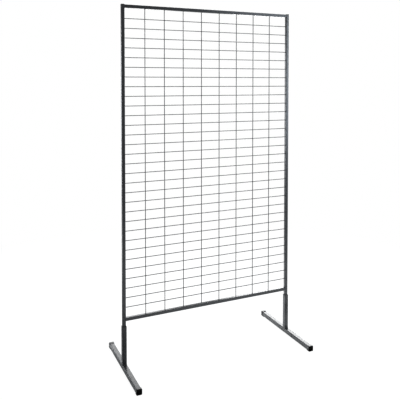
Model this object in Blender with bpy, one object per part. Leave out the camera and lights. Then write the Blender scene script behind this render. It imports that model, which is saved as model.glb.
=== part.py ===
"""Free-standing framed grid panel for displaying goods on hooks.

A welded wire grid sits in a frame of square tube. The frame's two uprights run on below the
bottom rail and drop into the sleeves of two T-shaped stands, so the panel lifts straight out.

Metres, +Z up. The origin is on the floor, midway between the stands and under the panel, and
the panel's front faces -Y.
"""
import math

import bmesh
import bpy
from mathutils import Matrix

# Overall size
TOTAL_HEIGHT = 1.900
PANEL_WIDTH = 1.017         # over the outsides of the two uprights
PANEL_HEIGHT = 1.642        # over the outsides of the two rails

# Clearance between two pieces that touch
GAP = 0.0003

# Panel frame: square tube
FRAME_TUBE = 0.017
FRAME_WALL = 0.0012
FRAME_CORNER = 0.0020

# Wire grid: the rows lie in front of the columns
WIRE_DIAMETER = 0.0035
WIRE_SIDES = 12
ROW_COUNT = 31
ROW_PITCH = 0.050
COLUMN_COUNT = 8
COLUMN_PITCH = 0.1085

# Plastic caps in the open tops of the uprights
CAP_HEAD = 0.0017
CAP_EDGE = 0.0006
CAP_STEM_LENGTH = 0.012

# Foot tubes: rectangular tube lying front to back
FOOT_WIDTH = 0.024
FOOT_HEIGHT = 0.025
FOOT_WALL = 0.0015
FOOT_CORNER = 0.0026
FOOT_LENGTH = 0.504

# Plastic caps pushed over the ends of the foot tubes; the stands rest on them
FOOT_CAP_WALL = 0.0020
FOOT_CAP_HEAD = 0.0030
FOOT_CAP_DEPTH = 0.015      # how far the cap's walls reach along the tube
FOOT_CAP_EDGE = 0.0010
FOOT_PAD_REACH = 0.010      # how far the pad under the tube runs on past those walls
FOOT_PAD_OVERLAP = 0.006    # how far the pad runs into the cap's own lower wall

# Sleeves: square tube welded upright on the middle of each foot tube
SLEEVE_TUBE = 0.023
SLEEVE_WALL = 0.0015
SLEEVE_CORNER = 0.0026
SLEEVE_RIM = 0.2290         # height of the rim, over the bush's flange

# Plastic bushes in the mouths of the sleeves, which guide the uprights
BUSH_FLANGE = 0.0017
BUSH_STEM_LENGTH = 0.025
BUSH_WALL = 0.0009

# Steps of the arc in each rounded corner
CORNER_STEPS = 4
SHARP_ANGLE = math.radians(40)

# Worked out from the sizes above
UPRIGHT_X = (PANEL_WIDTH - FRAME_TUBE) / 2
UPRIGHT_TOP = TOTAL_HEIGHT - CAP_HEAD - GAP
FOOT_LIFT = FOOT_CAP_WALL + GAP
FOOT_TOP = FOOT_LIFT + FOOT_HEIGHT
UPRIGHT_BOTTOM = FOOT_TOP + GAP
TOP_RAIL_Z = UPRIGHT_TOP - FRAME_TUBE / 2
BOTTOM_RAIL_Z = UPRIGHT_TOP - PANEL_HEIGHT + FRAME_TUBE / 2
GRID_MIDDLE_Z = (TOP_RAIL_Z + BOTTOM_RAIL_Z) / 2
CLEAR_WIDTH = PANEL_WIDTH - 2 * FRAME_TUBE
CLEAR_HEIGHT = PANEL_HEIGHT - 2 * FRAME_TUBE
WIRE_LAYER_Y = (WIRE_DIAMETER + GAP) / 2
SLEEVE_TOP = SLEEVE_RIM - BUSH_FLANGE - GAP

# Colours, linear RGB
ANTHRACITE = (0.036, 0.038, 0.042, 1.0)
BLACK = (0.006, 0.006, 0.006, 1.0)


def clear_scene():
    for thing in list(bpy.data.objects):
        bpy.data.objects.remove(thing, do_unlink=True)


def make_material(name, colour, roughness, metallic):
    material = bpy.data.materials.new(name)
    material.use_nodes = True
    shader = material.node_tree.nodes["Principled BSDF"]
    shader.inputs["Base Color"].default_value = colour
    shader.inputs["Roughness"].default_value = roughness
    shader.inputs["Metallic"].default_value = metallic
    return material


def rounded_outline(width, depth, corner):
    """Points of a rectangle with round corners, anticlockwise about its centre."""
    points = []
    for quarter in range(4):
        start = quarter * math.pi / 2
        side_x = 1 if quarter in (0, 3) else -1
        side_y = 1 if quarter in (0, 1) else -1
        centre_x = side_x * (width / 2 - corner)
        centre_y = side_y * (depth / 2 - corner)
        for step in range(CORNER_STEPS + 1):
            angle = start + step / CORNER_STEPS * math.pi / 2
            points.append((centre_x + corner * math.cos(angle),
                           centre_y + corner * math.sin(angle)))
    return points


def circle_outline(diameter, sides):
    """Points of a circle, anticlockwise about its centre."""
    turn = 2 * math.pi / sides
    radius = diameter / 2
    return [(radius * math.cos(i * turn), radius * math.sin(i * turn)) for i in range(sides)]


def loft(name, sections, material, parent, ring=False):
    """One solid through a run of sections, each an outline and its height along local Z.

    All outlines have the same number of points. A ring joins its last section to its first,
    as a tube does; otherwise the first and last sections are filled.
    """
    mesh = bpy.data.meshes.new(name)
    build = bmesh.new()
    loops = [[build.verts.new((x, y, z)) for x, y in outline] for outline, z in sections]
    count = len(loops[0])
    pairs = list(zip(loops, loops[1:]))
    if ring:
        pairs.append((loops[-1], loops[0]))
    else:
        build.faces.new(loops[0])
        build.faces.new(loops[-1])
    for lower, upper in pairs:
        for i in range(count):
            j = (i + 1) % count
            build.faces.new((lower[i], lower[j], upper[j], upper[i]))
    bmesh.ops.recalc_face_normals(build, faces=build.faces)
    build.to_mesh(mesh)
    build.free()
    mesh.shade_smooth()
    mesh.set_sharp_from_angle(angle=SHARP_ANGLE)
    mesh.materials.append(material)
    thing = bpy.data.objects.new(name, mesh)
    bpy.context.collection.objects.link(thing)
    thing.parent = parent
    return thing


def tube(name, width, depth, wall, corner, length, material, parent):
    """A rectangular tube along local Z, with its lower end at the local origin."""
    outer = rounded_outline(width, depth, corner)
    inner = rounded_outline(width - 2 * wall, depth - 2 * wall, corner - wall)
    sections = [(outer, 0), (outer, length), (inner, length), (inner, 0)]
    return loft(name, sections, material, parent, ring=True)


def wire(name, length, material, parent):
    """A round wire along local Z, centred on the local origin."""
    outline = circle_outline(WIRE_DIAMETER, WIRE_SIDES)
    return loft(name, [(outline, -length / 2), (outline, length / 2)], material, parent)


def make_group(name, x):
    """The empty that a body's pieces hang from, on the line that its sleeve or uprights slide along."""
    group = bpy.data.objects.new(name, None)
    bpy.context.collection.objects.link(group)
    group.location = (x, 0, 0)
    return group


def lay_along_x(thing):
    thing.rotation_euler = (math.pi / 2, 0, math.pi / 2)


def lay_along_y(thing):
    thing.rotation_euler = (-math.pi / 2, 0, 0)


def add_frame(panel, steel):
    for side, x in (("left", -UPRIGHT_X), ("right", UPRIGHT_X)):
        upright = tube(f"upright_{side}", FRAME_TUBE, FRAME_TUBE, FRAME_WALL, FRAME_CORNER,
                       UPRIGHT_TOP - UPRIGHT_BOTTOM, steel, panel)
        upright.location = (x, 0, UPRIGHT_BOTTOM)
    rail_length = CLEAR_WIDTH - 2 * GAP
    for name, z in (("top_rail", TOP_RAIL_Z), ("bottom_rail", BOTTOM_RAIL_Z)):
        rail = tube(name, FRAME_TUBE, FRAME_TUBE, FRAME_WALL, FRAME_CORNER,
                    rail_length, steel, panel)
        lay_along_x(rail)
        rail.location = (-rail_length / 2, 0, z)


def add_grid(panel, steel):
    for i in range(ROW_COUNT):
        row = wire(f"row_wire_{i + 1:02d}", CLEAR_WIDTH - 2 * GAP, steel, panel)
        lay_along_x(row)
        offset = ((ROW_COUNT - 1) / 2 - i) * ROW_PITCH
        row.location = (0, -WIRE_LAYER_Y, GRID_MIDDLE_Z + offset)
    for i in range(COLUMN_COUNT):
        column = wire(f"column_wire_{i + 1}", CLEAR_HEIGHT - 2 * GAP, steel, panel)
        offset = (i - (COLUMN_COUNT - 1) / 2) * COLUMN_PITCH
        column.location = (offset, WIRE_LAYER_Y, GRID_MIDDLE_Z)


def add_upright_caps(panel, plastic):
    stem_width = FRAME_TUBE - 2 * FRAME_WALL - 2 * GAP
    stem = rounded_outline(stem_width, stem_width, FRAME_CORNER - FRAME_WALL)
    head = rounded_outline(FRAME_TUBE, FRAME_TUBE, FRAME_CORNER)
    crown_width = FRAME_TUBE - 2 * CAP_EDGE
    crown = rounded_outline(crown_width, crown_width, FRAME_CORNER - CAP_EDGE)
    sections = [(stem, -CAP_STEM_LENGTH), (stem, GAP), (head, GAP),
                (head, GAP + CAP_HEAD - CAP_EDGE), (crown, GAP + CAP_HEAD)]
    for side, x in (("left", -UPRIGHT_X), ("right", UPRIGHT_X)):
        cap = loft(f"upright_cap_{side}", sections, plastic, panel)
        cap.location = (x, 0, UPRIGHT_TOP)


def add_foot_tube(side, stand, steel):
    foot = tube(f"foot_tube_{side}", FOOT_WIDTH, FOOT_HEIGHT, FOOT_WALL, FOOT_CORNER,
                FOOT_LENGTH, steel, stand)
    lay_along_y(foot)
    foot.location = (0, -FOOT_LENGTH / 2, FOOT_LIFT + FOOT_HEIGHT / 2)


def make_foot_pad():
    """The tongue that carries a foot cap's underside on along the tube; only a union uses it."""
    width = FOOT_WIDTH + 2 * (GAP + FOOT_CAP_WALL) - 2 * FOOT_CORNER
    length = FOOT_PAD_REACH + FOOT_PAD_OVERLAP
    mesh = bpy.data.meshes.new("foot_pad")
    build = bmesh.new()
    bmesh.ops.create_cube(build, size=1, matrix=Matrix.Diagonal((width, FOOT_CAP_WALL, length, 1)))
    far_corners = [edge for edge in build.edges
                   if all(vert.co.z < 0 for vert in edge.verts)
                   and abs(edge.verts[0].co.y - edge.verts[1].co.y) > GAP]
    bmesh.ops.bevel(build, geom=far_corners, offset=width / 4, segments=CORNER_STEPS,
                    affect="EDGES", profile=0.5)
    build.to_mesh(mesh)
    build.free()
    pad = bpy.data.objects.new("foot_pad", mesh)
    bpy.context.collection.objects.link(pad)
    pad.hide_render = True
    pad.display_type = "WIRE"
    return pad


def add_foot_caps(side, stand, plastic):
    """Cups over the two ends of a foot tube, modelled along local Z with the mouth at the bottom.

    Laid down, the back cap has its local +Y side underneath and the front cap its -Y side.
    """
    pocket = rounded_outline(FOOT_WIDTH + 2 * GAP, FOOT_HEIGHT + 2 * GAP, FOOT_CORNER + GAP)
    grow = 2 * (GAP + FOOT_CAP_WALL)
    shell_corner = FOOT_CORNER + GAP + FOOT_CAP_WALL
    shell = rounded_outline(FOOT_WIDTH + grow, FOOT_HEIGHT + grow, shell_corner)
    face = rounded_outline(FOOT_WIDTH + grow - 2 * FOOT_CAP_EDGE,
                           FOOT_HEIGHT + grow - 2 * FOOT_CAP_EDGE, shell_corner - FOOT_CAP_EDGE)
    front = GAP + FOOT_CAP_HEAD
    sections = [(pocket, GAP), (pocket, -FOOT_CAP_DEPTH), (shell, -FOOT_CAP_DEPTH),
                (shell, front - FOOT_CAP_EDGE), (face, front)]
    for end, toward in (("front", -1), ("back", 1)):
        cap = loft(f"foot_cap_{side}_{end}", sections, plastic, stand)
        cap.rotation_euler = (-toward * math.pi / 2, 0, 0)
        cap.location = (0, toward * FOOT_LENGTH / 2, FOOT_LIFT + FOOT_HEIGHT / 2)
        pad = make_foot_pad()
        pad.parent = cap
        pad_y = toward * (FOOT_HEIGHT / 2 + GAP + FOOT_CAP_WALL / 2)
        pad_z = -FOOT_CAP_DEPTH + (FOOT_PAD_OVERLAP - FOOT_PAD_REACH) / 2
        pad.location = (0, pad_y, pad_z)
        join = cap.modifiers.new("pad", "BOOLEAN")
        join.operation = "UNION"
        join.object = pad


def add_sleeve(side, stand, steel, plastic):
    base = FOOT_TOP + GAP
    sleeve = tube(f"sleeve_{side}", SLEEVE_TUBE, SLEEVE_TUBE, SLEEVE_WALL, SLEEVE_CORNER,
                  SLEEVE_TOP - base, steel, stand)
    sleeve.location = (0, 0, base)
    bore_width = FRAME_TUBE + 2 * GAP
    stem_width = bore_width + 2 * BUSH_WALL
    bore = rounded_outline(bore_width, bore_width, FRAME_CORNER + GAP)
    stem = rounded_outline(stem_width, stem_width, FRAME_CORNER + GAP + BUSH_WALL)
    flange = rounded_outline(SLEEVE_TUBE, SLEEVE_TUBE, SLEEVE_CORNER)
    sections = [(bore, -BUSH_STEM_LENGTH), (stem, -BUSH_STEM_LENGTH), (stem, GAP), (flange, GAP),
                (flange, GAP + BUSH_FLANGE), (bore, GAP + BUSH_FLANGE)]
    bush = loft(f"sleeve_bush_{side}", sections, plastic, stand, ring=True)
    bush.location = (0, 0, SLEEVE_TOP)


def build():
    clear_scene()
    steel = make_material("powder_coat", ANTHRACITE, 0.38, 0.0)
    wire_steel = make_material("wire_coat", ANTHRACITE, 0.42, 0.0)
    plastic = make_material("black_plastic", BLACK, 0.55, 0.0)
    panel = make_group("panel_group", 0)
    add_frame(panel, steel)
    add_grid(panel, wire_steel)
    add_upright_caps(panel, plastic)
    for side, x in (("left", -UPRIGHT_X), ("right", UPRIGHT_X)):
        stand = make_group(f"stand_{side}_group", x)
        add_foot_tube(side, stand, steel)
        add_foot_caps(side, stand, plastic)
        add_sleeve(side, stand, steel, plastic)


build()
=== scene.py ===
"""Looks of a free-standing framed grid panel: coated steel tube, welded wire, plastic caps.

Every piece takes its place and its size from the CAD frame and stands for the node it covers.
Metres, +Z up, with the panel's front facing -Y.
"""

import math
import random

import bmesh
import bpy
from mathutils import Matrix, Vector


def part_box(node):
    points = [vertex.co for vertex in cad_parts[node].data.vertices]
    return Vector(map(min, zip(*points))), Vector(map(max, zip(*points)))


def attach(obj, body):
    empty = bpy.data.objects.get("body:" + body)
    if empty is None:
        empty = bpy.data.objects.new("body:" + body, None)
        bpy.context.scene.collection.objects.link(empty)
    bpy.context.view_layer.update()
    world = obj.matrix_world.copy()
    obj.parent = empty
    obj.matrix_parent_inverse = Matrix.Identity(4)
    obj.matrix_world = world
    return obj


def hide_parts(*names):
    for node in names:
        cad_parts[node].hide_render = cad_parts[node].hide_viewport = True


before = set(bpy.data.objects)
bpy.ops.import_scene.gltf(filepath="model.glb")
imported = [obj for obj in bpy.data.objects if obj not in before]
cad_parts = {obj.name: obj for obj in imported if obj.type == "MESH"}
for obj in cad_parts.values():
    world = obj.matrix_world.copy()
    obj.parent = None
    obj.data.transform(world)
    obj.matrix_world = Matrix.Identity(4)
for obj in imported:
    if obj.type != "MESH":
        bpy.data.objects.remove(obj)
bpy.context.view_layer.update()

# How finely round shapes are drawn
CORNER_STEPS = 6
RIM_STEPS = 3
HEAD_STEPS = 4              # over the edge of an upright's cap or of a bush
FOOT_CAP_STEPS = 5
FOOT_PAD_STEPS = 6
WIRE_SIDES = 16
CROSSING_WELD_SIDES = 16
END_WELD_SIDES = 14
BEAD_SIDES = 12
FLOOR_SIDES = 96
FLAT_SUPPORT = 0.0004       # a point this far in from each corner keeps the flats flat
SMOOTH_ANGLE = math.radians(38)

# Steel tube
FRAME_WALL = 0.0012
FRAME_CORNER = 0.0020
SLEEVE_WALL = 0.0015
SLEEVE_CORNER = 0.0026
FOOT_WALL = 0.0015
FOOT_CORNER = 0.0026
RIM_RADIUS = 0.00025        # the coating rounds every sawn end

# Wire
PRESS_DEPTH = 0.06          # share of its diameter that a wire is flattened where two cross
PRESS_SPREAD = 1 / 3        # share of that depth by which it widens there
PRESS_REACH = 0.0024        # half the length of the flattened stretch

# The spot weld where two wires cross
CROSSING_WELD_RADIUS = 0.00225
CROSSING_WELD_THICKNESS = 0.0016        # from its middle to either tip
CROSSING_WELD_SIZES = (0.94, 1.06)      # smallest and largest, as shares of that radius
CROSSING_WELD_LEAN = 0.12               # most that its lobes are turned, in radians
CROSSING_WELD_LOBE = 0.13               # share by which its four lobes stand out
CROSSING_WELD_TIP = 0.03                # square of the share of the radius left at its tips
CROSSING_WELD_LEVELS = (-1, -0.85, -0.5, 0, 0.5, 0.85, 1)

# The fillet at a wire's end
END_WELD_LEG = 0.0013
END_WELD_LENGTH = 0.0019
END_WELD_SIZES = (0.85, 1.1)
# From the tube to the wire: how many legs it reaches past the wire, and its rise in lengths
END_WELD_OUTLINE = ((0.98, -0.10), (1.0, 0.02), (0.62, 0.16), (0.33, 0.38),
                    (0.13, 0.66), (0.02, 1.0), (-0.25, 1.02))
END_WELD_EVEN = 5                       # from this point of the outline on it is even and round
END_WELD_WAVE = 0.10                    # before, it has three broad waves
END_WELD_RIPPLE = 0.05                  # and five narrow ones

# Rippled weld beads
BEAD_STEP = 0.00035
BEAD_PITCH = 0.0015                     # from one ripple to the next
BEAD_RIPPLE = 0.16                      # share by which a bead narrows between ripples
BEAD_BOW = 0.35                         # how far a ripple bows back at its sides, in half widths
BEAD_TAPER = 1.2                        # length of a bead's rounded end, in half widths
BEAD_TIP = 0.08                         # square of the share of its size left at the very end
BEAD_SWELL = 0.04                       # share by which it swells slowly
BEAD_SWELL_TURN = 900                   # in radians per metre
BEAD_SWELL_START = 6                    # and starting anywhere within this many radians

# Beads at the frame's corners: half width, rise over the metal and depth of the root
FACE_BEAD = (0.0024, 0.0012, 0.0016)
FACE_BEAD_SHIFT = 0.0008                # it lies over the seam, more on the upright
FACE_BEAD_DEPTH = 0.0006                # how deep its axis lies in the face
FACE_BEAD_INSET = 0.0012                # from the rail's under and upper sides
CORNER_BEAD = (0.0021, 0.0017, 0.0010)
CORNER_BEAD_INSET = 0.0002              # from where the rail's corners begin

# The bead round the foot of a sleeve: first in front and behind, then at the sides
SLEEVE_BEAD_OUT = (0.0002, -0.0003)     # its axis, out from the sleeve
SLEEVE_BEAD_UP = (0.0001, -0.0009)      # and up from the foot tube
SLEEVE_BEAD_WIDE = (0.0026, 0.0013)     # half its width
SLEEVE_BEAD_TALL = (0.0024, 0.0021)     # and half its height
SLEEVE_BEAD_ROOT = (0.0012, 0.0028)     # how deep it goes at most
SLEEVE_BEAD_BITE = 0.7                  # share of the sleeve's wall that it goes into
SLEEVE_BEAD_PITCH = 1.25 * BEAD_PITCH
SLEEVE_BEAD_SWELL = 0.05
SLEEVE_BEAD_LUMPS = 7                   # slow swellings on the way round

# Plastic
FIT_GAP = 0.0003

# The upright's cap
CAP_EDGE = 0.0007
CAP_CROWN = 0.00012         # rise of its top, from the edge to the flat middle
CAP_FLAT = (0.55, 0.6)      # the flat middle's width and corner, as shares of the cap's
CAP_STEM_WALL = 0.0011
CAP_STEM_LIP = 0.0004       # chamfer inside the stem's lower end
CAP_STEM_LEAD = 0.0009      # and the lead-in outside it
CAP_ROOF = 0.0008           # from the stem's hollow to the end of the tube
# The mark of the mould's gate: width and corner as shares of the cap's width, and depth
GATE_MARK = ((0.16, 0.07, 0), (0.13, 0.06, 0.00025))

# The sleeve's bush
BUSH_EDGE = 0.0006
BUSH_WALL = 0.0009
BUSH_LEAD = 0.0006          # length of the lead-in at its lower end
BUSH_LEAD_DROP = 0.0004     # and what it takes off the width
# How much wider its mouth is, from the top down, and at what depth
BUSH_MOUTH = ((0.0007, 0), (0.0002, 0.00012), (0, 0.0004))

# The foot's cap
FOOT_CAP_WALL = 0.0020
FOOT_CAP_DEPTH = 0.015      # how far the cap's walls reach along the tube
FOOT_CAP_EDGE = 0.0011
FOOT_CAP_CROWN = 0.0003
# The face's rings: shares of its size, and of the crown's height by which they lie lower
FOOT_CAP_FACE = ((0.72, 0.45), (0.42, 0.12), (0.12, 0.0))
FOOT_CAP_FACE_CORNER = 0.7  # and their corners are smaller still by this share
FOOT_CAP_LIP = 0.0005       # chamfer inside the mouth
FOOT_CAP_TAPER = 0.0045     # towards its mouth the cap tapers over this length
FOOT_CAP_DROP = 0.0015      # and thins by this much
# Where the taper bends: shares of the drop in size and in corner, and of the length
FOOT_CAP_BEND = (0.5, 0.25, 0.6)
FOOT_PAD_LENGTH = 0.016     # under the tube, and partly within the cap's lower wall
FOOT_PAD_NOSE = 0.75        # its rounded tip, as a share of half its width
FOOT_PAD_EDGE = 0.0003
FOOT_PAD_BEND = 0.3         # where its lower edge bends, as a share of the edge

RANDOM = random.Random(11)


# ---------------------------------------------------------------- shapes

def rounded(width, height, corner, steps=CORNER_STEPS):
    """A rectangle with round corners, anticlockwise, with support points beside each arc."""
    points = []
    for quarter in range(4):
        start = quarter * math.pi / 2
        side_u = 1 if quarter in (0, 3) else -1
        side_v = 1 if quarter in (0, 1) else -1
        centre_u = side_u * (width / 2 - corner)
        centre_v = side_v * (height / 2 - corner)
        arc = []
        for step in range(steps + 1):
            angle = start + step / steps * math.pi / 2
            arc.append((centre_u + corner * math.cos(angle), centre_v + corner * math.sin(angle)))
        support = min(FLAT_SUPPORT, (min(width, height) / 2 - corner) / 2)
        turn_u = math.cos(start) * support
        turn_v = math.sin(start) * support
        points.append((arc[0][0] + turn_v, arc[0][1] - turn_u))
        points += arc
        points.append((arc[-1][0] - turn_u, arc[-1][1] - turn_v))
    return points


def between(pair, share):
    """The first value of pair at share 0, the second at share 1."""
    return pair[0] * (1 - share) + pair[1] * share


def along(axis, centre, outline, distance):
    """An outline at a distance along one axis, as points in space round centre."""
    if axis == "x":
        return [centre + Vector((distance, u, v)) for u, v in outline]
    if axis == "y":
        return [centre + Vector((v, distance, u)) for u, v in outline]
    return [centre + Vector((u, v, distance)) for u, v in outline]


def skin(rings, closed=False):
    """Points and faces of a skin through rings, which is filled at both ends unless closed."""
    count = len(rings[0])
    points = [point for ring in rings for point in ring]
    faces = []
    last = len(rings) if closed else len(rings) - 1
    for k in range(last):
        low = k * count
        high = (k + 1) % len(rings) * count
        for i in range(count):
            j = (i + 1) % count
            faces.append((low + i, low + j, high + j, high + i))
    if not closed:
        faces.append(tuple(range(count)))
        faces.append(tuple(range(len(points) - count, len(points))))
    return points, faces


def make_piece(name, skins, material, body, nodes=()):
    """One named piece from closed skins. It rides on body and stands for the CAD nodes."""
    mesh = bpy.data.meshes.new(name)
    points = []
    faces = []
    for skin_points, skin_faces in skins:
        base = len(points)
        points += skin_points
        faces += [tuple(base + i for i in face) for face in skin_faces]
    mesh.from_pydata(points, [], faces)
    tidy = bmesh.new()
    tidy.from_mesh(mesh)
    bmesh.ops.recalc_face_normals(tidy, faces=tidy.faces)
    tidy.to_mesh(mesh)
    tidy.free()
    mesh.shade_smooth()
    mesh.set_sharp_from_angle(angle=SMOOTH_ANGLE)
    mesh.materials.append(material)
    piece = bpy.data.objects.new(name, mesh)
    bpy.context.scene.collection.objects.link(piece)
    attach(piece, body)
    if nodes:
        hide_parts(*nodes)
    return piece


def round_edge(radius, steps):
    """Steps round a convex edge, each as its distance in from the side and in from the face."""
    for step in range(steps + 1):
        angle = step / steps * math.pi / 2
        yield radius * (1 - math.cos(angle)), radius * (1 - math.sin(angle))


def rim_rings(axis, centre, width, height, corner, wall, end, inward):
    """The rounded end of a tube, from its outer side over the rim to its inner side.

    end is the place of the rim along the axis, and inward is +1 or -1, into the tube.
    """
    outer = list(round_edge(RIM_RADIUS, RIM_STEPS))
    inner = [(wall - depth, shrink) for shrink, depth in outer]
    rings = []
    for shrink, depth in outer + inner:
        outline = rounded(width - 2 * shrink, height - 2 * shrink, corner - shrink)
        rings.append(along(axis, centre, outline, end + inward * depth))
    return rings


def tube_skin(node, axis, corner, wall):
    """A tube with rounded rims, as long, wide and deep as the CAD node."""
    low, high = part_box(node)
    size = high - low
    centre = (low + high) / 2
    index = "xyz".index(axis)
    length = size[index]
    width, height = {"x": (size.y, size.z), "y": (size.z, size.x), "z": (size.x, size.y)}[axis]
    start = rim_rings(axis, centre, width, height, corner, wall, -length / 2, 1)
    finish = rim_rings(axis, centre, width, height, corner, wall, length / 2, -1)
    outer = rounded(width, height, corner)
    inner = rounded(width - 2 * wall, height - 2 * wall, corner - wall)
    support = length / 2 - RIM_RADIUS - FLAT_SUPPORT
    rings = list(reversed(start))
    rings.append(along(axis, centre, outer, -support))
    rings.append(along(axis, centre, outer, support))
    rings += finish
    rings.append(along(axis, centre, inner, support))
    rings.append(along(axis, centre, inner, -support))
    return skin(rings, closed=True)


def wire_skin(node, axis, crossings, pressed):
    """A round wire along a CAD node, flattened a little at each crossing.

    pressed is the direction in which the other wires press on it, +1 or -1 along Y.
    """
    low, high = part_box(node)
    centre = (low + high) / 2
    index = "xyz".index(axis)
    half = (high - low)[index] / 2
    radius = (high - low).y / 2
    stations = [-half, half]
    for crossing in crossings:
        for k in (-1, -0.5, 0, 0.5, 1):
            stations.append(crossing - centre[index] + k * PRESS_REACH)
    rings = []
    for station in sorted(stations):
        nearest = min(abs(station + centre[index] - crossing) for crossing in crossings)
        press = max(0, 1 - (nearest / PRESS_REACH) ** 2) * PRESS_DEPTH * 2 * radius
        ring = []
        for i in range(WIRE_SIDES):
            turn = i / WIRE_SIDES * math.tau
            across = radius * math.cos(turn) * (1 + PRESS_SPREAD * press / radius)
            depth = radius * math.sin(turn)
            if depth * pressed > radius - press:
                depth = pressed * (radius - press)
            if axis == "x":
                ring.append(centre + Vector((station, depth, across)))
            else:
                ring.append(centre + Vector((across, depth, station)))
        rings.append(ring)
    return skin(rings)


def crossing_weld(place):
    """The flash squeezed out where two wires are welded across each other: a lumpy lens."""
    rings = []
    size = CROSSING_WELD_RADIUS * RANDOM.uniform(*CROSSING_WELD_SIZES)
    lean = RANDOM.uniform(-CROSSING_WELD_LEAN, CROSSING_WELD_LEAN)
    for level in CROSSING_WELD_LEVELS:
        share = math.sqrt(max(CROSSING_WELD_TIP, 1 - level * level))
        ring = []
        for i in range(CROSSING_WELD_SIDES):
            turn = i / CROSSING_WELD_SIDES * math.tau
            lobe = 1 + CROSSING_WELD_LOBE * abs(math.sin(2 * (turn + lean)))
            reach = size * share * lobe
            ring.append(place + Vector((reach * math.cos(turn), level * CROSSING_WELD_THICKNESS,
                                        reach * math.sin(turn))))
        rings.append(ring)
    return skin(rings)


def end_weld(foot, direction, radius):
    """The small fillet that joins a wire's end to the tube. foot is the point on the tube."""
    side = direction.orthogonal().normalized()
    other = direction.cross(side)
    phase = RANDOM.uniform(0, math.tau)
    leg = END_WELD_LEG * RANDOM.uniform(*END_WELD_SIZES)
    rings = []
    for k, (grow, rise) in enumerate(END_WELD_OUTLINE):
        ring = []
        for i in range(END_WELD_SIDES):
            turn = i / END_WELD_SIDES * math.tau
            wobble = 1
            if k < END_WELD_EVEN:
                wobble += END_WELD_WAVE * math.sin(3 * turn + phase)
                wobble += END_WELD_RIPPLE * math.sin(5 * turn - phase)
            reach = radius + grow * leg * wobble
            ring.append(foot + direction * (rise * END_WELD_LENGTH)
                        + side * (reach * math.cos(turn)) + other * (reach * math.sin(turn)))
        rings.append(ring)
    return skin(rings)


def ripple(pitches):
    """How a weld bead swells and narrows along its length, counted in pitches."""
    return 1 - BEAD_RIPPLE * (2 * (pitches % 1) - 1) ** 2


def straight_bead(start, finish, across, up, half_width, rise, sink):
    """A rippled weld bead from start to finish, with rounded ends and its root sunk in the metal."""
    path = finish - start
    length = path.length
    forward = path.normalized()
    shift = RANDOM.random()
    steps = round(length / BEAD_STEP)
    rings = []
    for k in range(steps + 1):
        distance = k / steps * length
        end = min(distance, length - distance) / (BEAD_TAPER * half_width)
        taper = math.sqrt(max(BEAD_TIP, 1 - max(0, 1 - end) ** 2))
        wave = math.sin(BEAD_SWELL_TURN * distance + BEAD_SWELL_START * shift)
        swell = ripple(distance / BEAD_PITCH + shift) * taper * (1 + BEAD_SWELL * wave)
        ring = []
        for i in range(BEAD_SIDES):
            turn = i / BEAD_SIDES * math.tau
            u = half_width * swell * math.cos(turn)
            v = math.sin(turn) * (rise * swell if math.sin(turn) > 0 else sink)
            bow = -BEAD_BOW * half_width * (u / half_width) ** 2
            ring.append(start + forward * (distance + bow * taper) + across * u + up * v)
        rings.append(ring)
    return skin(rings)


def sleeve_bead(sleeve_box, foot_top):
    """The weld all round the foot of a sleeve, wide in front and behind, thin at the sides."""
    low, high = sleeve_box
    middle = Vector(((low.x + high.x) / 2, 0, foot_top))
    half = (high.x - low.x) / 2
    straight = half - SLEEVE_CORNER
    path = []
    for quarter in range(4):
        out = Vector((math.cos(quarter * math.pi / 2), math.sin(quarter * math.pi / 2), 0))
        side = Vector((-out.y, out.x, 0))
        run = max(2, round(2 * straight / BEAD_STEP))
        for k in range(run):
            path.append((out * half + side * (straight * (2 * k / run - 1)), out))
        arc = max(2, round(SLEEVE_CORNER * math.pi / 2 / BEAD_STEP))
        for k in range(arc):
            turn = k / arc * math.pi / 2
            normal = out * math.cos(turn) + side * math.sin(turn)
            path.append(((out + side) * straight + normal * SLEEVE_CORNER, normal))
    ripples = round(len(path) * BEAD_STEP / SLEEVE_BEAD_PITCH)
    shift = RANDOM.random()
    rings = []
    for k, (point, normal) in enumerate(path):
        beside = normal.x ** 2                # 1 at the sides, 0 in front and behind
        swell = ripple(k / len(path) * ripples + shift)
        wave = math.sin(SLEEVE_BEAD_LUMPS * math.tau * k / len(path) + shift)
        swell *= 1 + SLEEVE_BEAD_SWELL * wave
        half_width = between(SLEEVE_BEAD_WIDE, beside) * swell
        half_height = between(SLEEVE_BEAD_TALL, beside) * swell
        ring = []
        for i in range(BEAD_SIDES):
            turn = i / BEAD_SIDES * math.tau
            reach = between(SLEEVE_BEAD_OUT, beside) + half_width * math.cos(turn)
            rise = between(SLEEVE_BEAD_UP, beside) + half_height * math.sin(turn)
            reach = max(reach, -SLEEVE_WALL * SLEEVE_BEAD_BITE)
            rise = max(rise, -between(SLEEVE_BEAD_ROOT, beside))
            ring.append(middle + point + normal * reach + Vector((0, 0, rise)))
        rings.append(ring)
    return skin(rings, closed=True)


# ---------------------------------------------------------------- materials

IOR = 1.5                   # of powder coat and of polyethylene

# Powder coat. Scales are in waves per metre, heights in metres, and a sheen is a range of
# roughness
COAT_DARK = (0.0170, 0.0175, 0.0187, 1)
COAT_LIGHT = (0.0240, 0.0247, 0.0264, 1)
TUBE_SHEEN = (0.25, 0.33)
TUBE_PEEL_SCALE = 620
WIRE_SHEEN = (0.30, 0.40)
WIRE_PEEL_SCALE = 780
PEEL_HEIGHT = 0.000018
PEEL_STRENGTH = 0.35
TONE_SCALE = 26
SPECK_SCALE = 2600
SPECK_RANGE = (0.62, 0.75)  # only the noise's peaks become specks
SPECK_SHARE = 0.5
SPECK_BRIGHTER = 3          # times as bright as the light tone
SHEEN_SCALE = 70
COAT_GRAIN_SCALE = 3200
COAT_GRAIN_HEIGHT = 0.000012
COAT_GRAIN_STRENGTH = 0.3

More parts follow.
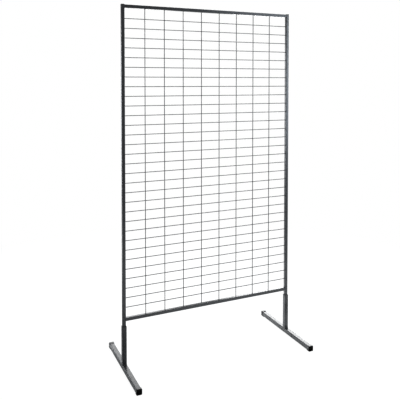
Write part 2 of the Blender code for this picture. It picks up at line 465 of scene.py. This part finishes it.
# Moulded plastic
PLASTIC_DARK = (0.0016, 0.0016, 0.0017, 1)
PLASTIC_LIGHT = (0.0030, 0.0030, 0.0031, 1)
PLASTIC_SHEEN = (0.26, 0.36)
FLOW_SCALE = 90
SCUFF_SCALE = 420
PLASTIC_GRAIN_SCALE = 2400
PLASTIC_GRAIN_HEIGHT = 0.00004
PLASTIC_GRAIN_STRENGTH = 0.35


def new_material(name):
    """A material with a Principled shader on its output."""
    material = bpy.data.materials.new(name)
    material.use_nodes = True
    nodes = material.node_tree.nodes
    nodes.clear()
    shader = nodes.new("ShaderNodeBsdfPrincipled")
    output = nodes.new("ShaderNodeOutputMaterial")
    material.node_tree.links.new(shader.outputs["BSDF"], output.inputs["Surface"])
    return material, nodes, material.node_tree.links, shader


def noise(nodes, links, where, scale, detail=2.0, roughness=0.5):
    """Noise in object space; scale is in waves per metre."""
    texture = nodes.new("ShaderNodeTexNoise")
    texture.inputs["Scale"].default_value = scale
    texture.inputs["Detail"].default_value = detail
    texture.inputs["Roughness"].default_value = roughness
    links.new(where, texture.inputs["Vector"])
    return texture.outputs["Fac"]


def spread(nodes, links, value, low, high, start=0.3, finish=0.7):
    """Stretches a noise value from start..finish to low..high."""
    node = nodes.new("ShaderNodeMapRange")
    node.inputs["From Min"].default_value = start
    node.inputs["From Max"].default_value = finish
    node.inputs["To Min"].default_value = low
    node.inputs["To Max"].default_value = high
    links.new(value, node.inputs["Value"])
    return node.outputs["Result"]


def blend_colour(nodes, links, factor, first, second):
    """From first to second. Each is a colour or another node's output."""
    node = nodes.new("ShaderNodeMix")
    node.data_type = "RGBA"
    links.new(factor, node.inputs["Factor"])
    # A mix node has its two colours on sockets 6 and 7 and gives the result on output 2
    for socket, colour in ((node.inputs[6], first), (node.inputs[7], second)):
        if isinstance(colour, tuple):
            socket.default_value = colour
        else:
            links.new(colour, socket)
    return node.outputs[2]


def bump(nodes, links, height, distance, strength, below=None):
    """The normal of a surface with this height, laid over another bump."""
    node = nodes.new("ShaderNodeBump")
    node.inputs["Distance"].default_value = distance
    node.inputs["Strength"].default_value = strength
    links.new(height, node.inputs["Height"])
    if below is not None:
        links.new(below, node.inputs["Normal"])
    return node.outputs["Normal"]


def powder_coat(name, sheen, peel_scale):
    """Semi-gloss powder coat: orange peel, a fine grain, and slow drifts of tone and gloss."""
    material, nodes, links, shader = new_material(name)
    where = nodes.new("ShaderNodeTexCoord").outputs["Object"]
    tone = noise(nodes, links, where, TONE_SCALE, detail=4.0, roughness=0.62)
    speck = noise(nodes, links, where, SPECK_SCALE, detail=1.0)
    drift = blend_colour(nodes, links, spread(nodes, links, tone, 0, 1), COAT_DARK, COAT_LIGHT)
    speck_share = spread(nodes, links, speck, 0, SPECK_SHARE, *SPECK_RANGE)
    speck_colour = tuple(SPECK_BRIGHTER * c for c in COAT_LIGHT[:3]) + (1,)
    speckled = blend_colour(nodes, links, speck_share, drift, speck_colour)
    links.new(speckled, shader.inputs["Base Color"])
    gloss = noise(nodes, links, where, SHEEN_SCALE, detail=3.0, roughness=0.6)
    links.new(spread(nodes, links, gloss, *sheen), shader.inputs["Roughness"])
    peel = noise(nodes, links, where, peel_scale, detail=1.5)
    grain = noise(nodes, links, where, COAT_GRAIN_SCALE, detail=1.0)
    waves = bump(nodes, links, peel, PEEL_HEIGHT, PEEL_STRENGTH)
    rough = bump(nodes, links, grain, COAT_GRAIN_HEIGHT, COAT_GRAIN_STRENGTH, waves)
    links.new(rough, shader.inputs["Normal"])
    shader.inputs["IOR"].default_value = IOR
    return material


def moulded_plastic(name):
    """Black moulded polyethylene: fine spark grain and faint flow marks."""
    material, nodes, links, shader = new_material(name)
    where = nodes.new("ShaderNodeTexCoord").outputs["Object"]
    flow = noise(nodes, links, where, FLOW_SCALE, detail=3.0, roughness=0.6)
    tone = blend_colour(nodes, links, spread(nodes, links, flow, 0, 1),
                        PLASTIC_DARK, PLASTIC_LIGHT)
    links.new(tone, shader.inputs["Base Color"])
    scuff = noise(nodes, links, where, SCUFF_SCALE, detail=3.0, roughness=0.7)
    links.new(spread(nodes, links, scuff, *PLASTIC_SHEEN), shader.inputs["Roughness"])
    grain = noise(nodes, links, where, PLASTIC_GRAIN_SCALE, detail=2.0)
    rough = bump(nodes, links, grain, PLASTIC_GRAIN_HEIGHT, PLASTIC_GRAIN_STRENGTH)
    links.new(rough, shader.inputs["Normal"])
    shader.inputs["IOR"].default_value = IOR
    return material


coat = powder_coat("powder_coat_anthracite", TUBE_SHEEN, TUBE_PEEL_SCALE)
wire_coat = powder_coat("powder_coat_wire", WIRE_SHEEN, WIRE_PEEL_SCALE)
plastic = moulded_plastic("black_polyethylene")


# ---------------------------------------------------------------- the panel

def middle_of(node):
    """The middle of a CAD node's box."""
    low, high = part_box(node)
    return (low + high) / 2


ROWS = sorted(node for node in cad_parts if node.startswith("row_wire_"))
COLUMNS = sorted(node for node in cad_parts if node.startswith("column_wire_"))
ROW_HEIGHTS = [middle_of(node).z for node in ROWS]
COLUMN_PLACES = [middle_of(node).x for node in COLUMNS]


def build_frame_tubes():
    """The uprights and the two rails."""
    for node in ("upright_left", "upright_right"):
        make_piece(node + "_tube", [tube_skin(node, "z", FRAME_CORNER, FRAME_WALL)],
                   coat, "panel", [node])
    for node in ("top_rail", "bottom_rail"):
        make_piece(node + "_tube", [tube_skin(node, "x", FRAME_CORNER, FRAME_WALL)],
                   coat, "panel", [node])


def build_wires():
    """The rows lie in front of the columns, so each layer is pressed from the other's side."""
    for node in ROWS:
        make_piece(node + "_round", [wire_skin(node, "x", COLUMN_PLACES, 1)],
                   wire_coat, "panel", [node])
    for node in COLUMNS:
        make_piece(node + "_round", [wire_skin(node, "z", ROW_HEIGHTS, -1)],
                   wire_coat, "panel", [node])


def build_crossing_welds():
    """One piece for the spot welds along each column."""
    for k, x in enumerate(COLUMN_PLACES):
        skins = [crossing_weld(Vector((x, 0, z))) for z in ROW_HEIGHTS]
        make_piece(f"crossing_welds_{k + 1}", skins, wire_coat, "panel")


def build_wire_end_welds():
    """The rows end at the uprights and the columns at the rails."""
    row_low, row_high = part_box(ROWS[0])
    radius = (row_high.y - row_low.y) / 2
    row_y = (row_low.y + row_high.y) / 2
    for side, face, inward in (("left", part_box("upright_left")[1].x, 1),
                               ("right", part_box("upright_right")[0].x, -1)):
        skins = [end_weld(Vector((face, row_y, z)), Vector((inward, 0, 0)), radius)
                 for z in ROW_HEIGHTS]
        make_piece(f"row_end_welds_{side}", skins, wire_coat, "panel")
    column_y = middle_of(COLUMNS[0]).y
    for side, face, inward in (("top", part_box("top_rail")[0].z, -1),
                               ("bottom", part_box("bottom_rail")[1].z, 1)):
        skins = [end_weld(Vector((x, column_y, face)), Vector((0, 0, inward)), radius)
                 for x in COLUMN_PLACES]
        make_piece(f"column_end_welds_{side}", skins, wire_coat, "panel")


def build_rail_welds():
    """Each rail is welded to the uprights in front, behind and below, the lower one above too."""
    for rail in ("top_rail", "bottom_rail"):
        low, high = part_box(rail)
        for side, inner_face, outward in (("left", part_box("upright_left")[1].x, -1),
                                          ("right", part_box("upright_right")[0].x, 1)):
            across = Vector((outward, 0, 0))
            seam = inner_face + outward * FACE_BEAD_SHIFT
            skins = []
            for y, up in ((low.y, Vector((0, -1, 0))), (high.y, Vector((0, 1, 0)))):
                root = y - up.y * FACE_BEAD_DEPTH
                start = Vector((seam, root, low.z + FACE_BEAD_INSET))
                finish = Vector((seam, root, high.z - FACE_BEAD_INSET))
                skins.append(straight_bead(start, finish, across, up, *FACE_BEAD))
            corners = [(low.z, -1)]
            if rail == "bottom_rail":
                corners.append((high.z, 1))
            for z, away in corners:
                reach = FRAME_CORNER + CORNER_BEAD_INSET
                start = Vector((inner_face, low.y + reach, z))
                finish = Vector((inner_face, high.y - reach, z))
                slope = Vector((-outward, 0, away)).normalized()
                level = Vector((outward, 0, away)).normalized()
                skins.append(straight_bead(start, finish, level, slope, *CORNER_BEAD))
            name = rail.replace("_rail", "") + f"_{side}_corner_welds"
            make_piece(name, skins, coat, "panel")


def build_upright_caps():
    """Caps whose hollow stems stand in the tops of the uprights."""
    for side in ("left", "right"):
        node = f"upright_cap_{side}"
        tube_low, tube_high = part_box(f"upright_{side}")
        low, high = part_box(node)
        width = tube_high.x - tube_low.x
        centre = Vector(((low.x + high.x) / 2, 0, 0))
        head_low = tube_high.z + FIT_GAP
        stem_width = width - 2 * (FRAME_WALL + FIT_GAP)
        stem_corner = FRAME_CORNER - FRAME_WALL
        hollow = stem_width - 2 * CAP_STEM_WALL
        shapes = [(hollow, stem_corner / 2, tube_high.z - CAP_ROOF),
                  (hollow, stem_corner / 2, low.z + CAP_STEM_LIP),
                  (stem_width - 2 * CAP_STEM_LIP, stem_corner / 2, low.z),
                  (stem_width, stem_corner, low.z + CAP_STEM_LEAD),
                  (stem_width, stem_corner, head_low),
                  (width, FRAME_CORNER, head_low)]
        for shrink, depth in round_edge(CAP_EDGE, HEAD_STEPS):
            shapes.append((width - 2 * shrink, FRAME_CORNER - shrink,
                           high.z - CAP_CROWN - depth))
        shapes.append((width * CAP_FLAT[0], FRAME_CORNER * CAP_FLAT[1], high.z))
        for share, corner_share, depth in GATE_MARK:
            shapes.append((width * share, width * corner_share, high.z - depth))
        rings = [along("z", centre + Vector((0, 0, z)), rounded(w, w, corner), 0)
                 for w, corner, z in shapes]
        make_piece(node + "_moulded", [skin(rings)], plastic, "panel", [node])


# ---------------------------------------------------------------- the stands

def build_stand_tubes(side):
    """A foot tube, the sleeve that stands on it, and the weld between them."""
    body = f"stand_{side}"
    foot = f"foot_tube_{side}"
    sleeve = f"sleeve_{side}"
    make_piece(foot + "_tube", [tube_skin(foot, "y", FOOT_CORNER, FOOT_WALL)],
               coat, body, [foot])
    make_piece(sleeve + "_tube", [tube_skin(sleeve, "z", SLEEVE_CORNER, SLEEVE_WALL)],
               coat, body, [sleeve])
    bead = sleeve_bead(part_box(sleeve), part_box(foot)[1].z)
    make_piece(f"sleeve_weld_{side}", [bead], coat, body)


def build_sleeve_bush(side):
    """The bush in a sleeve's mouth, which the upright slides through."""
    node = f"sleeve_bush_{side}"
    low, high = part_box(node)
    centre = Vector(((low.x + high.x) / 2, 0, 0))
    sleeve_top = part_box(f"sleeve_{side}")[1].z
    upright_low, upright_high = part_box(f"upright_{side}")
    bore = upright_high.x - upright_low.x + 2 * FIT_GAP
    stem = bore + 2 * BUSH_WALL
    bore_corner = FRAME_CORNER + FIT_GAP
    flange = high.x - low.x
    seat = sleeve_top + FIT_GAP
    stem_corner = bore_corner + BUSH_WALL
    shapes = [(bore, bore_corner, low.z),
              (stem - BUSH_LEAD_DROP, stem_corner, low.z),
              (stem, stem_corner, low.z + BUSH_LEAD),
              (stem, stem_corner, seat),
              (flange, SLEEVE_CORNER, seat)]
    for shrink, depth in round_edge(BUSH_EDGE, HEAD_STEPS):
        shapes.append((flange - 2 * shrink, SLEEVE_CORNER - shrink, high.z - depth))
    for wider, depth in BUSH_MOUTH:
        shapes.append((bore + wider, bore_corner + wider / 2, high.z - depth))
    rings = [along("z", centre + Vector((0, 0, z)), rounded(w, w, corner), 0)
             for w, corner, z in shapes]
    make_piece(node + "_moulded", [skin(rings, closed=True)], plastic,
               f"stand_{side}", [node])


def foot_cap_skin(node, foot, toward):
    """The cup over a foot tube's end. toward is -1 at the front and +1 at the back."""
    low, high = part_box(node)
    foot_low, foot_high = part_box(foot)
    centre = Vector(((low.x + high.x) / 2, 0, (foot_low.z + foot_high.z) / 2))
    tube_end = foot_high.y * toward
    face = high.y if toward > 0 else low.y
    tall = 2 * (foot_high.z + FIT_GAP + FOOT_CAP_WALL - centre.z)
    wide = high.x - low.x
    corner = FOOT_CORNER + FIT_GAP + FOOT_CAP_WALL
    pocket_tall = tall - 2 * FOOT_CAP_WALL
    pocket_wide = wide - 2 * FOOT_CAP_WALL
    pocket_corner = corner - FOOT_CAP_WALL
    mouth = tube_end - toward * FOOT_CAP_DEPTH
    bottom = tube_end + toward * FIT_GAP
    lip = FOOT_CAP_LIP
    drop = FOOT_CAP_DROP
    bend_size, bend_corner, bend_length = FOOT_CAP_BEND
    shapes = [(pocket_tall, pocket_wide, pocket_corner, bottom),
              (pocket_tall, pocket_wide, pocket_corner, mouth + toward * lip),
              (pocket_tall + lip, pocket_wide + lip, pocket_corner + lip / 2, mouth),
              (tall - 2 * drop, wide - 2 * drop, corner - drop, mouth),
              (tall - bend_size * drop, wide - bend_size * drop, corner - bend_corner * drop,
               mouth + toward * FOOT_CAP_TAPER * bend_length),
              (tall, wide, corner, mouth + toward * FOOT_CAP_TAPER)]
    for shrink, depth in round_edge(FOOT_CAP_EDGE, FOOT_CAP_STEPS):
        shapes.append((tall - 2 * shrink, wide - 2 * shrink, corner - shrink,
                       face - toward * (FOOT_CAP_CROWN + depth)))
    for share, depth in FOOT_CAP_FACE:
        shapes.append((tall * share, wide * share, corner * share * FOOT_CAP_FACE_CORNER,
                       face - toward * FOOT_CAP_CROWN * depth))
    rings = [along("y", centre + Vector((0, y, 0)), rounded(t, w, c), 0) for t, w, c, y in shapes]
    return skin(rings)


def foot_pad_skin(node, toward):
    """The tongue of the cap that runs on along the underside of the tube."""
    low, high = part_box(node)
    centre_x = (low.x + high.x) / 2
    half = (high.x - low.x) / 2 - FOOT_CORNER
    tip = low.y if toward > 0 else high.y
    root = tip + toward * FOOT_PAD_LENGTH
    nose = half * FOOT_PAD_NOSE
    outline = [(-half, root), (half, root)]
    arc = [k / FOOT_PAD_STEPS * math.pi / 2 for k in range(FOOT_PAD_STEPS + 1)]
    for side in (1, -1):
        for turn in (arc if side > 0 else reversed(arc)):
            outline.append((side * (half - nose + nose * math.cos(turn)),
                            tip + toward * (nose - nose * math.sin(turn))))
    edge = FOOT_PAD_EDGE
    bend = edge * FOOT_PAD_BEND
    top = low.z + FOOT_CAP_WALL
    middle = (tip + root) / 2
    rings = []
    for inset, z in ((edge, low.z), (bend, low.z + bend), (0, low.z + edge),
                     (0, top - edge), (edge, top)):
        shrink_x = 1 - inset / half
        shrink_y = 1 - inset / abs(root - middle)
        rings.append([Vector((centre_x + x * shrink_x, middle + (y - middle) * shrink_y, z))
                      for x, y in outline])
    return skin(rings)


def build_foot_caps(side):
    """Each cap is a cup over the tube's end and a pad under the tube."""
    for end, toward in (("front", -1), ("back", 1)):
        node = f"foot_cap_{side}_{end}"
        skins = [foot_cap_skin(node, f"foot_tube_{side}", toward), foot_pad_skin(node, toward)]
        make_piece(node + "_moulded", skins, plastic, f"stand_{side}", [node])


# ---------------------------------------------------------------- floor, light and camera

FLOOR_RADIUS = 14.0
WHITE_START = 0.9           # from here the floor turns white to the camera
WHITE_RADIUS = 2.6          # and beyond this it is plain white
FLOOR_GLOW = 0.93           # what the camera sees of the floor near the stands
FLOOR_SHADE = (0.05, 0.05, 0.05, 1)     # and how much of their shadow shows on it

# The floor's even brightness as it lights the object, then the painted reflection zones, painted
# shade and painted light, that the tubes' gloss mirrors
PAPER = (0.86, 0.86, 0.86, 1)
PAINTED_SHADE_LEFT = (0.235, 0.235, 0.235, 1)
PAINTED_REFLECTION_BY_FOOT = (0.52, 0.52, 0.52, 1)
PAINTED_REFLECTION_BEHIND_FOOT = (0.95, 0.95, 0.95, 1)
PAINTED_LIGHT_RIGHT = (1.16, 1.16, 1.16, 1)
PAINTED_REFLECTION_FAR_FRONT = (0.65, 0.65, 0.65, 1)
PAINTED_REFLECTION_FAR_BACK = (0.95, 0.95, 0.95, 1)
PAINTED_SHADOW_BEFORE_CAPS = (0.02, 0.02, 0.02, 1)

# Where the painted reflection goes from one brightness to the next, in metres
BY_FOOT = (-0.560, -0.536)  # across, left of the left foot
BEHIND_FOOT = (0.17, 0.30)  # behind the panel
TO_RIGHT = (-0.30, 0.20)    # across, from the left half to the right one
TO_RIGHT_SLANT = 0.45       # that border moves left by this much per metre from the panel
FAR_AWAY = (1.1, 2.4)       # from the middle
FAR_BEHIND = (0.5, 2.0)
BEFORE_CAPS = 0.295         # in front of the panel, the middle of the painted shadow strip
OFF_CAPS = (0.040, 0.075)   # and the painted shadow's end, from that middle

ROOM_TINT = (0.96, 0.98, 1.0, 1)
ROOM_STRENGTH = 0.85

CAMERA_PLACE = (-1.2705, -2.6389, 1.4969)
CAMERA_LENS = 47.618
CAMERA_SHIFT = -0.2502
CAMERA_DOWN = 1.851         # degrees below the horizon
CAMERA_RIGHT = 24.57        # degrees to the right of straight on
DISPLAY_GAMMA = 0.72        # below 1, so that thin dark wires keep their weight on white


def arithmetic(nodes, links, operation, *values):
    """One step of arithmetic. Each value is a number or another node's output."""
    node = nodes.new("ShaderNodeMath")
    node.operation = operation
    for socket, value in zip(node.inputs, values):
        if isinstance(value, float):
            socket.default_value = value
        else:
            links.new(value, socket)
    return node.outputs[0]


def painted_reflection_zones(nodes, links, where, distance):
    """The painted reflection of the floor for the tubes' gloss: painted shade on the left, painted
    light on the right, even far away.
    """
    split = nodes.new("ShaderNodeSeparateXYZ")
    links.new(where, split.inputs[0])
    x = split.outputs["X"]
    y = split.outputs["Y"]
    by_foot = spread(nodes, links, x, 0, 1, *BY_FOOT)
    left = blend_colour(nodes, links, by_foot, PAINTED_SHADE_LEFT, PAINTED_REFLECTION_BY_FOOT)
    behind = spread(nodes, links, y, 0, 1, *BEHIND_FOOT)
    behind_foot = arithmetic(nodes, links, "MULTIPLY", by_foot, behind)
    left = blend_colour(nodes, links, behind_foot, left, PAINTED_REFLECTION_BEHIND_FOOT)
    from_panel = arithmetic(nodes, links, "ABSOLUTE", y)
    slant = arithmetic(nodes, links, "MULTIPLY_ADD", from_panel, TO_RIGHT_SLANT, x)
    near = blend_colour(nodes, links, spread(nodes, links, slant, 0, 1, *TO_RIGHT),
                        left, PAINTED_LIGHT_RIGHT)
    far = blend_colour(nodes, links, spread(nodes, links, y, 0, 1, *FAR_BEHIND),
                       PAINTED_REFLECTION_FAR_FRONT, PAINTED_REFLECTION_FAR_BACK)
    faded = blend_colour(nodes, links, spread(nodes, links, distance, 0, 1, *FAR_AWAY), near, far)
    # Painted shadow: a dark strip on the floor close in front of the feet's caps, which only the
    # gloss sees
    past_strip = arithmetic(nodes, links, "ADD", y, BEFORE_CAPS)
    off_caps = arithmetic(nodes, links, "ABSOLUTE", past_strip)
    clear = spread(nodes, links, off_caps, 0, 1, *OFF_CAPS)
    return blend_colour(nodes, links, clear, PAINTED_SHADOW_BEFORE_CAPS, faded)


def build_floor():
    """A pale studio floor, bright enough that it meets the backdrop without a line."""
    mesh = bpy.data.meshes.new("floor")
    turns = [k / FLOOR_SIDES * math.tau for k in range(FLOOR_SIDES)]
    ring = [Vector((FLOOR_RADIUS * math.cos(turn), FLOOR_RADIUS * math.sin(turn), 0))
            for turn in turns]
    mesh.from_pydata(ring, [], [tuple(range(FLOOR_SIDES))])
    material = bpy.data.materials.new("studio_floor")
    material.use_nodes = True
    nodes = material.node_tree.nodes
    links = material.node_tree.links
    nodes.clear()
    paper_and_painted_reflection = nodes.new("ShaderNodeBsdfDiffuse")
    seen = nodes.new("ShaderNodeBsdfDiffuse")
    seen.inputs["Color"].default_value = FLOOR_SHADE
    glow = nodes.new("ShaderNodeEmission")
    glow.inputs["Strength"].default_value = FLOOR_GLOW
    lit = nodes.new("ShaderNodeAddShader")
    links.new(seen.outputs[0], lit.inputs[0])
    links.new(glow.outputs[0], lit.inputs[1])
    far = nodes.new("ShaderNodeEmission")
    far.inputs["Strength"].default_value = 1.0
    where = nodes.new("ShaderNodeTexCoord").outputs["Object"]
    distance = nodes.new("ShaderNodeVectorMath")
    distance.operation = "LENGTH"
    links.new(where, distance.inputs[0])
    far_off = distance.outputs["Value"]
    fade = spread(nodes, links, far_off, 0, 1, WHITE_START, WHITE_RADIUS)
    near_or_far = nodes.new("ShaderNodeMixShader")
    links.new(fade, near_or_far.inputs[0])
    links.new(lit.outputs[0], near_or_far.inputs[1])
    links.new(far.outputs[0], near_or_far.inputs[2])
    path = nodes.new("ShaderNodeLightPath")
    # Glossy rays see the painted reflection zones, painted shade and painted light, instead of the
    # even paper
    painted_reflection = painted_reflection_zones(nodes, links, where, far_off)
    links.new(blend_colour(nodes, links, path.outputs["Is Glossy Ray"], PAPER, painted_reflection),
              paper_and_painted_reflection.inputs["Color"])
    chosen = nodes.new("ShaderNodeMixShader")
    links.new(path.outputs["Is Camera Ray"], chosen.inputs[0])
    links.new(paper_and_painted_reflection.outputs[0], chosen.inputs[1])
    links.new(near_or_far.outputs[0], chosen.inputs[2])
    output = nodes.new("ShaderNodeOutputMaterial")
    links.new(chosen.outputs[0], output.inputs["Surface"])
    mesh.materials.append(material)
    floor = bpy.data.objects.new("studio_floor", mesh)
    bpy.context.scene.collection.objects.link(floor)


def build_world():
    """White to the eye, as a lit paper roll is, and dim to everything that it lights."""
    world = bpy.data.worlds.new("studio")
    world.use_nodes = True
    nodes = world.node_tree.nodes
    links = world.node_tree.links
    nodes.clear()
    path = nodes.new("ShaderNodeLightPath")
    shown = nodes.new("ShaderNodeBackground")
    shown.inputs["Color"].default_value = (1, 1, 1, 1)
    room = nodes.new("ShaderNodeBackground")
    room.inputs["Color"].default_value = ROOM_TINT
    room.inputs["Strength"].default_value = ROOM_STRENGTH
    chosen = nodes.new("ShaderNodeMixShader")
    links.new(path.outputs["Is Camera Ray"], chosen.inputs[0])
    links.new(room.outputs[0], chosen.inputs[1])
    links.new(shown.outputs[0], chosen.inputs[2])
    output = nodes.new("ShaderNodeOutputWorld")
    links.new(chosen.outputs[0], output.inputs["Surface"])
    bpy.context.scene.world = world


def softbox(name, place, target, size, radiance, colour=(1, 1, 1)):
    """A flat panel of light that faces target. radiance is how bright it looks in a reflection."""
    width, height = size
    light = bpy.data.lights.new(name, "AREA")
    light.shape = "RECTANGLE"
    light.size = width
    light.size_y = height
    light.energy = 4 * radiance * width * height
    light.color = colour
    lamp = bpy.data.objects.new(name, light)
    bpy.context.scene.collection.objects.link(lamp)
    lamp.location = place
    lamp.rotation_euler = (Vector(target) - Vector(place)).to_track_quat("-Z", "Y").to_euler()
    lamp.visible_camera = False


def build_lights():
    """One softbox above and four round the object, each for the faces that mirror it."""
    softbox("overhead", place=(0.2, 0.7, 3.6), target=(0.1, 0.3, 0), size=(3.2, 3.0),
            radiance=6.2, colour=(0.95, 0.98, 1.0))
    softbox("back_right", place=(2.7, 3.0, 1.9), target=(0.5, 0, 0), size=(1.8, 1.8),
            radiance=6.0)
    softbox("back_middle", place=(0.45, 3.4, 1.9), target=(-0.5, 0, 0), size=(1.2, 1.8),
            radiance=3.0)
    softbox("far_left", place=(-2.95, 5.0, 1.1), target=(0.5, 0, 1.1), size=(1.2, 2.2),
            radiance=7.2, colour=(0.93, 0.96, 1.0))
    softbox("front_right", place=(2.75, -3.3, 1.55), target=(0.5, 0, 1.5), size=(1.6, 1.9),
            radiance=7.8, colour=(0.84, 0.92, 1.0))


def build_camera():
    """Seen from the front left, with the verticals nearly parallel thanks to the shift."""
    camera = bpy.data.cameras.new("camera")
    camera.sensor_width = 36
    camera.lens = CAMERA_LENS
    camera.shift_y = CAMERA_SHIFT
    holder = bpy.data.objects.new("camera", camera)
    bpy.context.scene.collection.objects.link(holder)
    holder.location = CAMERA_PLACE
    holder.rotation_euler = (math.radians(90 - CAMERA_DOWN), 0, math.radians(-CAMERA_RIGHT))
    bpy.context.scene.camera = holder


build_frame_tubes()
build_wires()
build_crossing_welds()
build_wire_end_welds()
build_rail_welds()
build_upright_caps()
for stand_side in ("left", "right"):
    build_stand_tubes(stand_side)
    build_sleeve_bush(stand_side)
    build_foot_caps(stand_side)
build_floor()
build_world()
build_lights()
build_camera()
bpy.context.scene.view_settings.view_transform = "Standard"
bpy.context.scene.view_settings.gamma = DISPLAY_GAMMA
